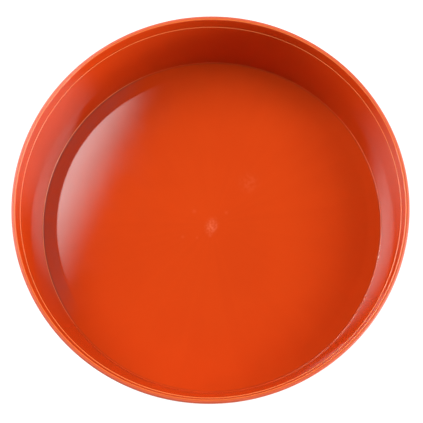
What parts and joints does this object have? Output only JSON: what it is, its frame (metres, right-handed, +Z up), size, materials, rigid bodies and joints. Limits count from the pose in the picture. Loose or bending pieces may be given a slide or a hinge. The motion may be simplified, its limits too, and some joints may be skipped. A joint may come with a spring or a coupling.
{
  "type": "plant saucer",
  "caption": "Round saucer for a plant pot, glossy terracotta-coloured plastic, with a leaning wall, a stepped rim and a level floor that turns up slightly round its edge.",
  "frame": {"origin": "centre of the ring that the saucer stands on, at the bottom of the part", "axes": "+Z up along the axis that the saucer is turned about, so X and Y are any two level directions"},
  "size_m": [0.2, 0.2, 0.046],
  "materials": {
    "terracotta_plastic": "moulded plastic in a saturated terracotta orange, glossy, with a faint pale bloom over the gate in the middle of the floor"
  },
  "bodies": {
    "root": {"saucer": "terracotta_plastic"}
  },
  "joints": []
}
